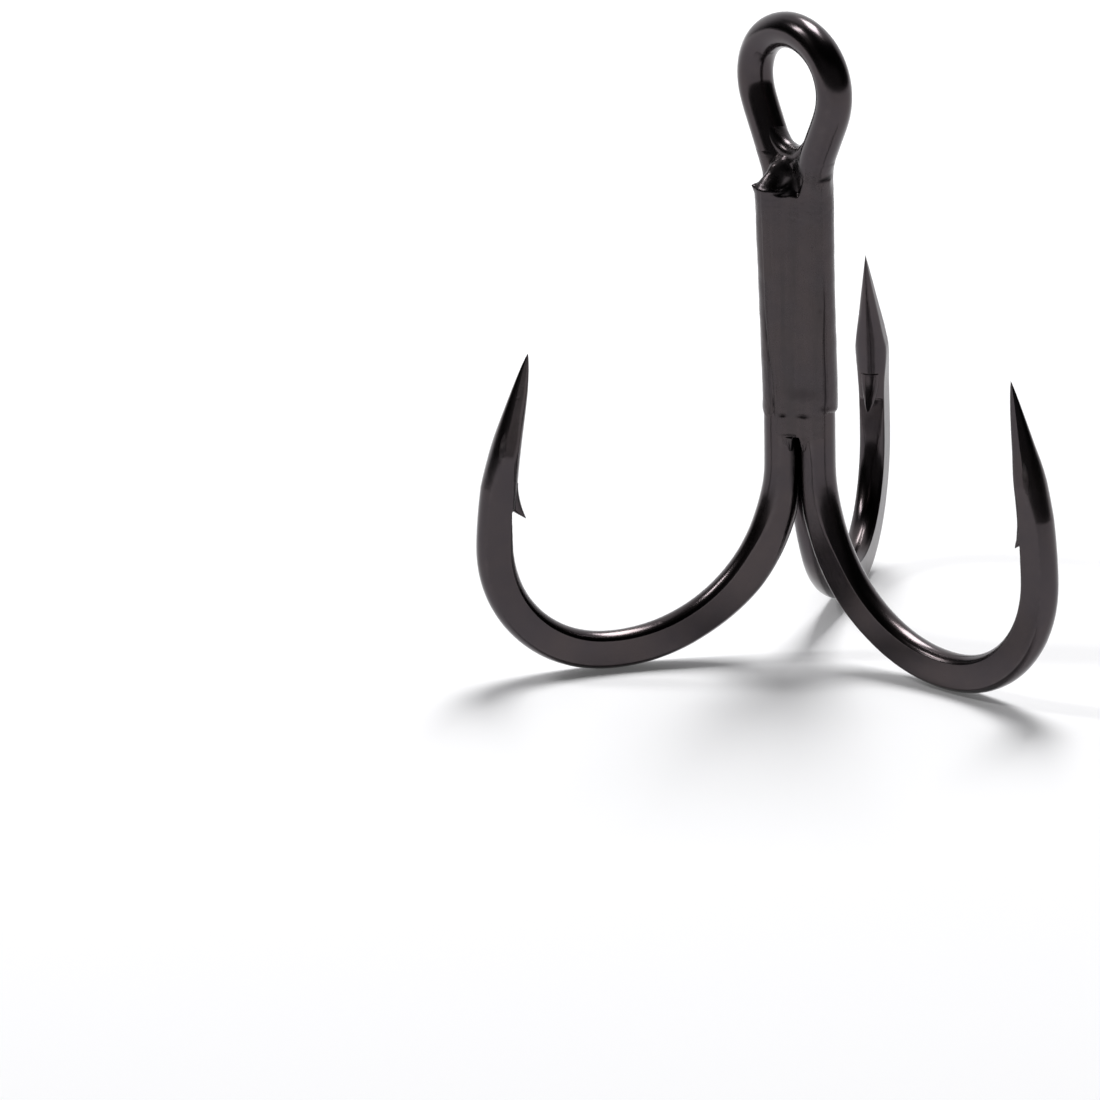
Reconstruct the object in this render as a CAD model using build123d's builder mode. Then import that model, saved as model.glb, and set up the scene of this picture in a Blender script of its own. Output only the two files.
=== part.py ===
from build123d import *

import os
from math import cos, degrees, radians, sin, tan

# Treble hook, in millimetres. +Z runs up the shanks to the eye, and the hook stands on its three bends at
# z = 0. The single hook points along -X, the two limbs of the double hook 60 degrees either side of +X.
os.makedirs("parts", exist_ok=True)

# Wire and layout
wire_diameter = 2.0
wire_radius = wire_diameter / 2
solder_gap = 0.018                  # capillary gap between neighbouring shanks
shank_offset = (wire_diameter + solder_gap) / (2 * sin(radians(60)))    # shank centre to common axis
single_heading = 180                # heading of each bend about Z, in degrees
double_headings = (-60, 60)

# Bend, from the shank to the point: radius in mm and turn in degrees
crotch_radius, crotch_turn = 10.0, 22.5
heel_radius, heel_turn = 9.9, 72.5
throat_radius, throat_turn = 6.4, 87.5
limb_radius, limb_turn = 32.0, 12.5
spear_length = 3.9                  # straight run at the very point

# Forged flats
forged_half_thickness = 0.72
flat_start_drop = 1.2               # the flats run out this far below the braze
flat_run_out = 1.6

# Point and barb, as distances back from the tip along the wire
point_length = 7.5
point_fullness = 0.62               # exponent of the needle's outline: 1 is a plain cone, less is fuller
tip_radius = 0.03
point_stations = (0.0, 0.25, 0.5, 0.7, 0.86, 1.0)       # sections of the point, as shares of its length
wedge_length = 4.9                  # where the flats begin to close in on the tip
barb_heel, barb_root, barb_tip = 7.3, 8.7, 9.3
barb_stand_off = 0.75               # barb tip above the wire's surface
barb_half_thickness = 0.3
barb_heel_depth, barb_root_depth, barb_bed_depth = 0.95, 0.97, 0.4     # shares of the wire's radius

# Eye, in an upright plane turned from the common axis; lengths along the wire's centreline
eye_offset_x = -0.25
eye_azimuth = -69.0
eye_centre_height = 32.5
eye_half_width = 3.6
eye_side_radius = 2.8
eye_side_turn = 54.0                # turn above the widest point, before the flatter top
eye_lean = 28.0                     # flanks off the vertical
double_knee_heights = (28.3, 27.2)  # where each flank meets the eye's plane
knee_radius, flank_radius = 1.9, 3.0

# Braze
braze_bottom, braze_top = 14.2, 26.6
braze_right_top = 25.2
web_half_width = 1.25
web_proud = 0.06                    # web face beyond the wires' common tangent plane
web_root = 0.25                     # filler starts this far outside the line of shank centres
core_reach = 0.42
saddle_top = 28.9
saddle_half_thickness = 0.6
single_end_clearance = 0.01
single_lean = 0.35                  # the far leg pushes the single hook's cropped end this far outwards
single_lean_start = 14.6
single_lean_radius = 60.0

join_height = braze_bottom - 1.0    # shank and bend are modelled apart and joined here
lowest_to_bend = (
    crotch_radius * sin(radians(crotch_turn))
    + heel_radius * (1 - sin(radians(crotch_turn)))
)
bend_height = wire_radius + lowest_to_bend      # puts the lowest wire surface at z = 0
point_lean = crotch_turn + heel_turn + throat_turn + limb_turn - 180    # off the vertical, towards the shank
single_shank_end = (-shank_offset - single_lean, 0, braze_top)


def shank_centre(heading, height=0.0):
    return Vector(
        shank_offset * cos(radians(heading)), shank_offset * sin(radians(heading)), height
    )


def beside(line, back, inward):
    """Point `back` mm before the line's end and `inward` mm to the gape side of it."""
    fraction = 1 - back / line.length
    along = line % fraction
    return line @ fraction + Vector(-along.Z, 0, along.X) * inward


# One bend with its point and barb, in the XZ plane with +X outwards. It is used three times.
curved_point = point_length - spear_length              # the part of the point on the limb's arc
point_turn = degrees(curved_point / limb_radius)

with BuildLine(Plane.XZ) as bend_line:
    shank_run = Line((shank_offset, join_height), (shank_offset, bend_height))
    crotch = JernArc(shank_run @ 1, shank_run % 1, crotch_radius, crotch_turn)
    heel = JernArc(crotch @ 1, crotch % 1, heel_radius, heel_turn)
    throat = JernArc(heel @ 1, heel % 1, throat_radius, throat_turn)
    limb = JernArc(throat @ 1, throat % 1, limb_radius, limb_turn - point_turn)
with BuildLine(Plane.XZ) as point_line:
    ogive_run = JernArc(limb @ 1, limb % 1, limb_radius, point_turn)
    spear = Line(ogive_run @ 1, ogive_run @ 1 + (ogive_run % 1) * spear_length)
tip = spear @ 1

with BuildLine(Plane.XZ) as limb_centre:
    add(throat)
    add(limb)
    add(ogive_run)
    add(spear)
outer_line = limb_centre.wires()[0]

with BuildPart() as hook_bend:
    with BuildSketch(Plane(origin=shank_run @ 0, z_dir=shank_run % 0)):
        Circle(wire_radius)
    sweep(path=bend_line.wires()[0])

    # Needle point: round sections that shrink along the wire
    point_path = point_line.wires()[0]
    for fraction in point_stations:
        section_radius = max(tip_radius, wire_radius * (1 - fraction) ** point_fullness)
        with BuildSketch(Plane(origin=point_path @ fraction, z_dir=point_path % fraction)):
            Circle(section_radius)
    loft()

    # Forged sides: flat from below the braze to the point, where they close to an edge
    flat_start = braze_bottom - flat_start_drop
    wedge_start = tip.Z - wedge_length * cos(radians(point_lean))
    parting = heel_radius               # between the shank's slab and the point's
    with BuildSketch(Plane.YZ.offset(-wire_diameter)) as shank_side:
        with BuildLine():
            Polyline(
                (-forged_half_thickness, -wire_radius),
                (forged_half_thickness, -wire_radius),
                (forged_half_thickness, flat_start - flat_run_out),
                (wire_radius + tip_radius, flat_start),
                (wire_radius + tip_radius, tip.Z),
                (-wire_radius - tip_radius, tip.Z),
                (-wire_radius - tip_radius, flat_start),
                (-forged_half_thickness, flat_start - flat_run_out),
                close=True,
            )
        make_face()
    shank_slab = extrude(amount=parting + wire_diameter, mode=Mode.PRIVATE)
    with BuildSketch(Plane.YZ.offset(parting)) as point_side:
        with BuildLine():
            Polyline(
                (-forged_half_thickness, -wire_radius),
                (forged_half_thickness, -wire_radius),
                (forged_half_thickness, wedge_start),
                (tip_radius, tip.Z + tip_radius),
                (-tip_radius, tip.Z + tip_radius),
                (-forged_half_thickness, wedge_start),
                close=True,
            )
        make_face()
    point_slab = extrude(amount=2 * parting, mode=Mode.PRIVATE)
    add([shank_slab, point_slab], mode=Mode.INTERSECT)

    # Barb: a sliver raised from the gape side, its tip pointing back to the bend
    with BuildSketch(Plane.XZ):
        with BuildLine():
            Polyline(
                beside(outer_line, barb_heel, barb_bed_depth * wire_radius),
                beside(outer_line, barb_heel, barb_heel_depth * wire_radius),
                beside(outer_line, barb_tip, wire_radius + barb_stand_off),
                beside(outer_line, barb_root, barb_root_depth * wire_radius),
                beside(outer_line, barb_root, barb_bed_depth * wire_radius),
                close=True,
            )
        make_face()
    extrude(amount=barb_half_thickness, both=True)


# The eye's wire: up one shank, round the eye and down the other
eye_u = Vector(cos(radians(eye_azimuth)), sin(radians(eye_azimuth)), 0)
eye_plane = Plane(origin=(eye_offset_x, 0, 0), x_dir=eye_u, z_dir=eye_u.cross(Vector(0, 0, 1)))
side_centre = eye_half_width - eye_side_radius
flank_top = (
    side_centre + eye_side_radius * cos(radians(eye_lean)),
    eye_centre_height - eye_side_radius * sin(radians(eye_lean)),
)
eye_top_radius = eye_side_radius + side_centre / cos(radians(eye_side_turn))


def flank_point(side, height):
    across = flank_top[0] - (flank_top[1] - height) * tan(radians(eye_lean))
    return eye_plane.from_local_coords((side * across, height, 0))


def leg_corners(heading, side, knee_height):
    """Corners of one leg, from its shank to the flank of the eye."""
    knee = flank_point(side, knee_height)
    shank = shank_centre(heading)
    sideways = (Vector(knee.X, knee.Y, 0) - shank).length
    shank_top = knee_height - sideways / tan(radians(eye_lean))
    return [
        shank_centre(heading, join_height),
        shank_centre(heading, shank_top),
        knee,
        flank_point(side, flank_top[1]),
    ]


near_leg = leg_corners(double_headings[0], 1, double_knee_heights[0])
far_leg = leg_corners(double_headings[1], -1, double_knee_heights[1])

with BuildLine(eye_plane) as ring_line:
    near_side = JernArc(
        flank_top,
        (sin(radians(eye_lean)), cos(radians(eye_lean))),
        eye_side_radius,
        eye_lean + eye_side_turn,
    )
    crown = JernArc(near_side @ 1, near_side % 1, eye_top_radius, 2 * (90 - eye_side_turn))
    far_side = JernArc(crown @ 1, crown % 1, eye_side_radius, eye_lean + eye_side_turn)
with BuildLine() as near_line:
    FilletPolyline(*near_leg, radius=(knee_radius, flank_radius))
with BuildLine() as far_line:
    FilletPolyline(*far_leg, radius=(flank_radius, flank_radius))
eye_path = Wire(near_line.edges() + ring_line.edges() + far_line.edges())

with BuildPart() as eye_wire:
    with BuildSketch(Plane(origin=near_leg[0], z_dir=(0, 0, 1))):
        Circle(wire_radius)
    sweep(path=eye_path)

with BuildPart() as double_hook:
    add(eye_wire.part)
    for heading in double_headings:
        add(hook_bend.part, rotation=(0, 0, heading))
double_hook.part.label = "double_hook"
export_step(double_hook.part, "parts/double_hook.step")

# The third hook: its shank is cut off just under the eye and coped round the far leg
with BuildPart() as far_leg_envelope:
    with BuildSketch(Plane(origin=far_leg[0], z_dir=(0, 0, 1))):
        Circle(wire_radius + single_end_clearance)
    sweep(path=far_line.wires()[0])

with BuildLine() as single_line:
    FilletPolyline(
        shank_centre(single_heading, join_height),
        shank_centre(single_heading, single_lean_start),
        single_shank_end,
        radius=single_lean_radius,
    )
with BuildPart() as single_hook:
    with BuildSketch(Plane(origin=shank_centre(single_heading, join_height), z_dir=(0, 0, 1))):
        Circle(wire_radius)
    sweep(path=single_line.wires()[0])
    add(hook_bend.part, rotation=(0, 0, single_heading))
    add(far_leg_envelope.part, mode=Mode.SUBTRACT)
single_hook.part.label = "single_hook"
export_step(single_hook.part, "parts/single_hook.step")

# Braze filler: a web in each of the three grooves, a core between the shanks, and a saddle in the neck
groove_height = shank_offset * cos(radians(60))         # common axis to the line of two shank centres


def web_outline(heading, shifted_side=0, shift=0.0):
    """Closed outline of a web's section; the corners on one side follow a shank that leans out."""
    lean_out = shift * cos(radians(180 - heading))
    lean_along = shift * sin(radians(180 - heading))
    corners = []
    face = wire_radius + web_proud
    for out, side in ((web_root, -1), (face, -1), (face, 1), (web_root, 1)):
        follows = 1 if side == shifted_side else 0
        corners.append(
            (groove_height + out + follows * lean_out, side * web_half_width + follows * lean_along)
        )
    return corners


webs = {
    "braze_web_front": (-120, braze_top, -1),
    "braze_web_back": (120, braze_top, 1),
    "braze_web_side": (0, braze_right_top, 0),
}
for name, (heading, top, shifted_side) in webs.items():
    groove_x = (cos(radians(heading)), sin(radians(heading)), 0)
    shift = single_lean if shifted_side else 0
    with BuildPart() as web:
        with BuildSketch(Plane(origin=(0, 0, braze_bottom), x_dir=groove_x, z_dir=(0, 0, 1))):
            with BuildLine():
                Polyline(*web_outline(heading), close=True)
            make_face()
        with BuildSketch(Plane(origin=(0, 0, top), x_dir=groove_x, z_dir=(0, 0, 1))):
            with BuildLine():
                Polyline(*web_outline(heading, shifted_side, shift), close=True)
            make_face()
        loft(ruled=True)
        add(double_hook.part, mode=Mode.SUBTRACT)
        add(single_hook.part, mode=Mode.SUBTRACT)
    web.part.label = name
    export_step(web.part, f"parts/{name}.step")

with BuildPart() as braze_core:
    with BuildSketch(Plane.XY.offset(braze_bottom)):
        RegularPolygon(core_reach, 3)
        with PolarLocations(shank_offset, 3, start_angle=double_headings[0]):
            Circle(wire_radius, mode=Mode.SUBTRACT)
    extrude(amount=braze_right_top - braze_bottom)
    add(far_leg_envelope.part, mode=Mode.SUBTRACT)
braze_core.part.label = "braze_core"
export_step(braze_core.part, "parts/braze_core.step")

with BuildPart() as braze_saddle:
    with BuildSketch(eye_plane):
        with BuildLine():
            Polyline(
                (-web_half_width, braze_top),
                (web_half_width, braze_top),
                (web_half_width, saddle_top),
                (-web_half_width, saddle_top),
                close=True,
            )
        make_face()
    extrude(amount=saddle_half_thickness, both=True)
    add(eye_wire.part, mode=Mode.SUBTRACT)
    add(single_hook.part, mode=Mode.SUBTRACT)
braze_saddle.part.label = "braze_saddle"
export_step(braze_saddle.part, "parts/braze_saddle.step")
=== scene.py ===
import math

import bpy
import numpy as np
from mathutils import Matrix, noise


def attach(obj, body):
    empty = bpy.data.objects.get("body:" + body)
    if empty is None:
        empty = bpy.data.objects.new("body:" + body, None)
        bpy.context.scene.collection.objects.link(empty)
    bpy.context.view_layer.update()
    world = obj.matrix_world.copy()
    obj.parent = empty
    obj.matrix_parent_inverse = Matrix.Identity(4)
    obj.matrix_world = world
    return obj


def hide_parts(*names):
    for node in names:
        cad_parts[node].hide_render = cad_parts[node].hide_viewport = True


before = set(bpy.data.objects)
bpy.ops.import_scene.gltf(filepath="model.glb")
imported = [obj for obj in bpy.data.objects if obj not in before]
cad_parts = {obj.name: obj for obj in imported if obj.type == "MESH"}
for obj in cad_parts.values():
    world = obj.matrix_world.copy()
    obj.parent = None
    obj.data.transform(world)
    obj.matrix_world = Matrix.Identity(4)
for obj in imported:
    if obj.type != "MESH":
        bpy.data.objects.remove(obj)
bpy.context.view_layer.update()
millimetre = 0.001
print("frame loaded,", len(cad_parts), "nodes")


# Node maths: a Link is one output socket, and arithmetic on it adds Math or Vector Math nodes.
class Link:
    def __init__(self, graph, socket):
        self.graph, self.socket = graph, socket
        self.isVector = socket.type in {"VECTOR", "RGBA"}

    def maths(self, operation, *others, reflected=False):
        values = (*others, self) if reflected else (self, *others)
        kind = "ShaderNodeVectorMath" if self.isVector else "ShaderNodeMath"
        return self.graph.node(kind, {"operation": operation}, dict(enumerate(values)))

    def __add__(self, other):
        return self.maths("ADD", other)

    def __sub__(self, other):
        return self.maths("SUBTRACT", other)

    def __mul__(self, other):
        if self.isVector and not (isinstance(other, Link) and other.isVector):
            return self.graph.node(
                "ShaderNodeVectorMath", {"operation": "SCALE"}, {0: self, "Scale": other}
            )
        return self.maths("MULTIPLY", other)

    def __truediv__(self, other):
        return self.maths("DIVIDE", other)

    def __radd__(self, other):
        return self.maths("ADD", other, reflected=True)

    def __rsub__(self, other):
        return self.maths("SUBTRACT", other, reflected=True)

    def __rmul__(self, other):
        return self * other

    def __rtruediv__(self, other):
        return self.maths("DIVIDE", other, reflected=True)

    def power(self, exponent):
        return self.maths("POWER", exponent)

    def least(self, other):
        return self.maths("MINIMUM", other)

    def most(self, other):
        return self.maths("MAXIMUM", other)

    def size(self):
        return self.maths("ABSOLUTE")

    def above(self, level):
        return self.maths("GREATER_THAN", level)

    def softLeast(self, other, blend):
        return self.maths("SMOOTH_MIN", other, blend)

    def ramp(self, low, high, toLow=0.0, toHigh=1.0):
        # smooth step from low to high
        return self.graph.node(
            "ShaderNodeMapRange",
            {"interpolation_type": "SMOOTHSTEP"},
            {"Value": self, "From Min": low, "From Max": high, "To Min": toLow, "To Max": toHigh},
        )


class Graph:
    def __init__(self, tree):
        self.tree = tree

    def node(self, kind, settings=None, inputs=None, output=0):
        made = self.tree.nodes.new(kind)
        for name, value in (settings or {}).items():
            setattr(made, name, value)
        for key, value in (inputs or {}).items():
            if isinstance(value, Link):
                self.tree.links.new(value.socket, made.inputs[key])
            else:
                made.inputs[key].default_value = value
        return Link(self, made.outputs[output])

    def mixColour(self, factor, first, second):
        return self.node(
            "ShaderNodeMix", {"data_type": "RGBA"}, {0: factor, 6: first, 7: second}, 2
        )

    def noise(self, vector, scale, detail=2.0, roughness=0.5, distortion=0.0):
        return self.node(
            "ShaderNodeTexNoise",
            None,
            {
                "Vector": vector,
                "Scale": scale,
                "Detail": detail,
                "Roughness": roughness,
                "Distortion": distortion,
            },
        )


def smooth(low, high, value):
    part = np.clip((value - low) / (high - low), 0, 1)
    return part * part * (3 - 2 * part)


def window(span, value):
    # rises over the first two of four levels and falls over the last two
    return smooth(span[0], span[1], value) * (1 - smooth(span[2], span[3], value))


def unit(vector):
    vector = np.asarray(vector, float)
    return vector / np.linalg.norm(vector)


def headingVector(heading):
    return np.array([math.cos(math.radians(heading)), math.sin(math.radians(heading)), 0.0])


up = np.array([0.0, 0.0, 1.0])


# Routes: a wire's centreline in millimetres, laid run by run and arc by arc
class Route:
    def __init__(self, start, direction):
        self.points, self.directions = [np.asarray(start, float)], [unit(direction)]

    def run(self, length, step):
        count = max(1, round(length / step))
        start, along = self.points[-1], self.directions[-1]
        for i in range(1, count + 1):
            self.points.append(start + along * length * i / count)
            self.directions.append(along)

    def arc(self, radius, turn, axis, step):
        count = max(2, round(radius * math.radians(turn) / step))
        start, along = self.points[-1], self.directions[-1]
        towards = np.cross(axis, along)
        for i in range(1, count + 1):
            angle = math.radians(turn) * i / count
            self.points.append(
                start + radius * ((1 - math.cos(angle)) * towards + math.sin(angle) * along)
            )
            self.directions.append(math.cos(angle) * along + math.sin(angle) * towards)

    def corners(self, corners, radii, step):
        # straight runs between corners, each inner corner rounded to its radius
        used = 0.0
        for i, radius in enumerate(radii):
            along = unit(corners[i + 1] - corners[i])
            following = unit(corners[i + 2] - corners[i + 1])
            turn = math.acos(np.clip(along @ following, -1, 1))
            tangent = radius * math.tan(turn / 2)
            self.run(np.linalg.norm(corners[i + 1] - corners[i]) - used - tangent, step)
            self.arc(radius, math.degrees(turn), unit(np.cross(along, following)), step)
            used = tangent
        self.run(np.linalg.norm(corners[-1] - corners[-2]) - used, step)

    def arrays(self, ease=0):
        # ease: how many stations each way a bend's start and end are softened over
        points, directions = np.array(self.points), np.array(self.directions)
        if not ease:
            return points, directions
        weights = np.hanning(2 * ease + 3)[1:-1]
        before = points[0] - (points[1] - points[0]) * np.arange(ease, 0, -1)[:, None]
        after = points[-1] + (points[-1] - points[-2]) * np.arange(1, ease + 1)[:, None]
        padded = np.vstack([before, points, after])
        columns = [np.convolve(column, weights / weights.sum(), "valid") for column in padded.T]
        points = np.stack(columns, 1)
        directions = np.gradient(points, axis=0)
        return points, directions / np.linalg.norm(directions, axis=1)[:, None]


# The three hooks' common wire, in millimetres and degrees
bendArcs = ((10.0, 22.5), (9.9, 72.5), (6.4, 87.5), (32.0, 12.5))    # radius and turn, in order
crotchSine = math.sin(math.radians(bendArcs[0][1]))
wire = {
    "radius": 1.0,
    "shankOffset": 2.018 / (2 * math.sin(math.radians(60))),
    "joinHeight": 13.2,
    "bendStart": 1.0 + bendArcs[0][0] * crotchSine + bendArcs[1][0] * (1 - crotchSine),
    "bendFull": 7.5,             # height where the forged section is whole
    "spear": 4.1,                # straight run at the very point
    "step": 0.11,
    "ease": 12,                  # stations each way over which an arc's ends are softened
    "sides": 72,
    "weld": 2e-8,
    "cornerCrowding": 0.18,      # how strongly the mesh gathers along the forged corners
    "cornerBlend": 0.05,
    "cornerWidth": 0.09,
    "cornerFade": 0.07,
    "flatClear": 1.04,           # a flat this far out touches nothing
    "flatHalf": 0.73,
    "crotchFlatHalf": 0.88,
    "crotchSpread": 0.17,        # how far the pressed wire bulges on its belly side
    "spreadSpan": (2.0, 5.0, 8.2, 9.9),      # heights between which it does
    "flatsFrom": (14.6, 11.0),   # heights where the flats begin and are full
    "innerHalf": 1.12,
    "pointLength": 7.7,
    "pointPower": 0.62,          # outline of the needle: 1 is a plain cone, less is fuller
    "tipSharpness": 0.10,
    "pointWidth": 2.04,
    # distance back from the tip, and the gape side's share of the width there
    "gapeShareAt": ((0, 0.58), (2, 0.575), (5, 0.535), (7.5, 0.513)),
    "bevelAngle": 54.0,
    "bevelAt": (                 # distance back from the tip, and the bevel's reach there
        (0.0, 0.9), (1.6, 0.6), (3.0, 0.41), (4.9, 0.33),
        (6.0, 0.36), (7.2, 0.56), (8.8, 1.0), (9.2, 1.2),
    ),
    "bevelEnd": 9.0,
    "wedgeSlope": 0.155,         # the flats close in on the tip
    "swelling": (0.175, 6.0, 1.6),       # of the flats there: height, place, half length
    "tipOval": (1.12, 3.6, 6.8),         # width over thickness at the tip, and where it ends
    "hammerDepth": 0.055,
    "hammerScale": 5.0,
    "hammerSpan": (2.2, 3.8, 7.4, 9.2),      # back from the tip
    "unevenness": 0.012,
    "creaseDepth": 0.018,
    "creaseSpan": (3.0, 6.5, 9.5, 11.5),     # heights
}
barb = {
    "heel": 7.3, "root": 8.9, "tip": 9.5,    # back from the point, along the wire
    "rise": 0.75,                # its tip over the wire's surface
    "riseCurve": 1.45,
    "proud": 0.012,
    "bed": 0.55,                 # how deep it is rooted, from the centreline
    "rootBed": 0.62,
    "undercut": 0.8,
    "halfWidth": 0.6,
    "narrowing": (2.2, 0.75),
    "crownLoss": 0.35,           # how much narrower it is underneath
    "gouge": 0.36, "gougeLength": 4.2,
    "sections": 26, "around": 20,
}
eye = {
    "offset": np.array([-0.25, 0.0, 0.0]),
    "azimuth": -69.0,
    "height": 32.5,
    "halfWidth": 3.6,
    "sideRadius": 2.8,
    "sideTurn": 54.0,
    "lean": 28.0,
    "knees": (28.3, 27.2),
    "kneeRadii": (1.9, 3.0),
    "flankRadius": 3.0,
}
doubleHeadings = (-60.0, 60.0)
singleHeading = 180.0
singleEnd = {"height": 25.9, "lean": 0.35, "leanFrom": 14.6, "leanTo": 26.6, "leanRadius": 60.0}


def bendRoute(heading):
    # from the join on the shank round the bend to the point
    outwards = headingVector(heading)
    route = Route(outwards * wire["shankOffset"] + up * wire["joinHeight"], -up)
    route.run(wire["joinHeight"] - wire["bendStart"], wire["step"])
    for radius, turn in bendArcs:
        route.arc(radius, turn, np.cross(-up, outwards), wire["step"])
    route.run(wire["spear"], wire["step"] * 0.6)
    points, directions = route.arrays(wire["ease"])
    gapeSide = np.cross(np.cross(-up, outwards), directions)
    return points, directions, -gapeSide


def eyeRoute():
    along = headingVector(eye["azimuth"])
    lean = math.radians(eye["lean"])
    sideCentre = eye["halfWidth"] - eye["sideRadius"]
    flankAcross = sideCentre + eye["sideRadius"] * math.cos(lean)
    flankHeight = eye["height"] - eye["sideRadius"] * math.sin(lean)

    def flank(side, height):
        across = flankAcross - (flankHeight - height) * math.tan(lean)
        return eye["offset"] + along * side * across + up * height

    def leg(heading, side, kneeHeight):
        knee = flank(side, kneeHeight)
        shank = headingVector(heading) * wire["shankOffset"]
        sideways = np.linalg.norm(knee[:2] - shank[:2])
        return [
            shank + up * wire["joinHeight"],
            shank + up * (kneeHeight - sideways / math.tan(lean)),
            knee,
            flank(side, flankHeight),
        ]

    near = leg(doubleHeadings[0], 1, eye["knees"][0])
    far = leg(doubleHeadings[1], -1, eye["knees"][1])
    step = wire["step"]
    route = Route(near[0], up)
    route.corners(near, (eye["kneeRadii"][0], eye["flankRadius"]), step)
    crownRadius = eye["sideRadius"] + sideCentre / math.cos(math.radians(eye["sideTurn"]))
    ringAxis = np.cross(along, up)
    for radius, turn in (
        (eye["sideRadius"], eye["lean"] + eye["sideTurn"]),
        (crownRadius, 2 * (90 - eye["sideTurn"])),
        (eye["sideRadius"], eye["lean"] + eye["sideTurn"]),
    ):
        route.arc(radius, turn, ringAxis, step)
    route.corners(far[::-1], (eye["flankRadius"], eye["kneeRadii"][1]), step)
    return route.arrays(wire["ease"])


def carried(directions, first, last):
    # an outward vector carried along the wire without twist, then turned evenly to end as last
    outward = [first]
    for before, after in zip(directions[:-1], directions[1:]):
        vector = outward[-1]
        axis = np.cross(before, after)
        sine = np.linalg.norm(axis)
        if sine > 1e-9:
            axis, angle = axis / sine, math.atan2(sine, before @ after)
            vector = (
                vector * math.cos(angle)
                + np.cross(axis, vector) * math.sin(angle)
                + axis * (axis @ vector) * (1 - math.cos(angle))
            )
        outward.append(unit(vector - after * (after @ vector)))
    outward = np.array(outward)
    miss = math.atan2(np.cross(outward[-1], last) @ directions[-1], outward[-1] @ last)
    share = np.linspace(0, 1, len(outward))[:, None] * miss
    return outward * np.cos(share) + np.cross(directions, outward) * np.sin(share)


def lengthAlong(points):
    return np.concatenate([[0], np.cumsum(np.linalg.norm(np.diff(points, axis=0), axis=1))])


def bendSections(points):
    # widths of the forged wire at each station, from its distance back from the tip
    along = lengthAlong(points)
    back = along[-1] - along
    height = np.where(back > 20, points[:, 2], 0)
    # 0 on the shank, 1 round the bend
    full = 1 - smooth(wire["bendFull"], wire["bendStart"], height)
    power = wire["pointPower"] + wire["tipSharpness"] * np.exp(-back)
    taper = np.clip(back / wire["pointLength"], 0, 1) ** power
    innerShare = np.interp(back, *zip(*wire["gapeShareAt"]))
    width = wire["pointWidth"] * taper
    innerSpread = full * smooth(7.5, 11.0, back) * (wire["innerHalf"] - 1.05) + full * 0.05
    inner = np.where(back < wire["pointLength"], width * innerShare, 1 + innerSpread)
    spread = wire["crotchSpread"] * window(wire["spreadSpan"], height)
    outer = np.where(back < wire["pointLength"], width * (1 - innerShare), wire["radius"] + spread)
    begin, whole = wire["flatsFrom"]
    run = smooth(begin, whole, height) * (back > 20) + (back <= 20)
    least, most, clear = wire["flatHalf"], wire["crotchFlatHalf"], wire["flatClear"]
    pressed = least + (most - least) * smooth(5.0, 8.5, height)
    swelling, place, halfLength = wire["swelling"]
    pressed = pressed + swelling * np.exp(-((back - place) / halfLength) ** 2)
    flat = np.minimum(clear + (pressed - clear) * run, wire["wedgeSlope"] * back + 0.002)
    oval, ovalUntil, ovalGone = wire["tipOval"]
    across = flat * oval + (1.0 - flat * oval) * smooth(ovalUntil, ovalGone, back)
    bevelEdge = np.interp(back, *zip(*wire["bevelAt"]))
    bevelEdge = np.minimum(bevelEdge, outer)
    angle = math.radians(wire["bevelAngle"])
    bevel = bevelEdge * math.cos(angle) + flat * math.sin(angle)
    bevel = np.where(back > wire["bevelEnd"], 3.0, bevel)
    cutAway = barb["gouge"] * np.clip(1 - (back - barb["root"]) / barb["gougeLength"], 0, 1)
    cut = np.where(back > barb["root"], inner - cutAway, inner + 1.0)
    cut = np.where(cutAway > 0, cut, inner + 1.0)
    hammer = window(wire["hammerSpan"], back)
    crease = window(wire["creaseSpan"], height)
    innerCrease = smooth(8.8, 10.0, back) * (1 - smooth(2.0, 5.0, height))
    return dict(
        inner=inner, outer=outer, across=across, flat=flat,
        cut=cut, bevel=bevel, hammer=hammer, crease=crease, innerCrease=innerCrease,
    )


def roundSections(count):
    plain = np.ones(count)
    return dict(
        inner=plain, outer=plain, across=plain, flat=plain * wire["flatClear"],
        cut=plain * 2.0, bevel=plain * 3.0,
        hammer=plain * 0.0, crease=plain * 0.0, innerCrease=plain * 0.0,
    )


def stationMesh(name, points, outward, sideways, sections):
    mesh = bpy.data.meshes.new(name)
    mesh.vertices.add(len(points))
    mesh.vertices.foreach_set("co", points.astype(np.float32).ravel())
    for key, vectors in (("outward", outward), ("sideways", sideways)):
        mesh.attributes.new(key, "FLOAT_VECTOR", "POINT").data.foreach_set(
            "vector", vectors.astype(np.float32).ravel()
        )
    values = dict(sections, along=lengthAlong(points))
    for key, numbers in values.items():
        mesh.attributes.new(key, "FLOAT", "POINT").data.foreach_set(
            "value", np.asarray(numbers, np.float32)
        )
    return mesh


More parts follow.
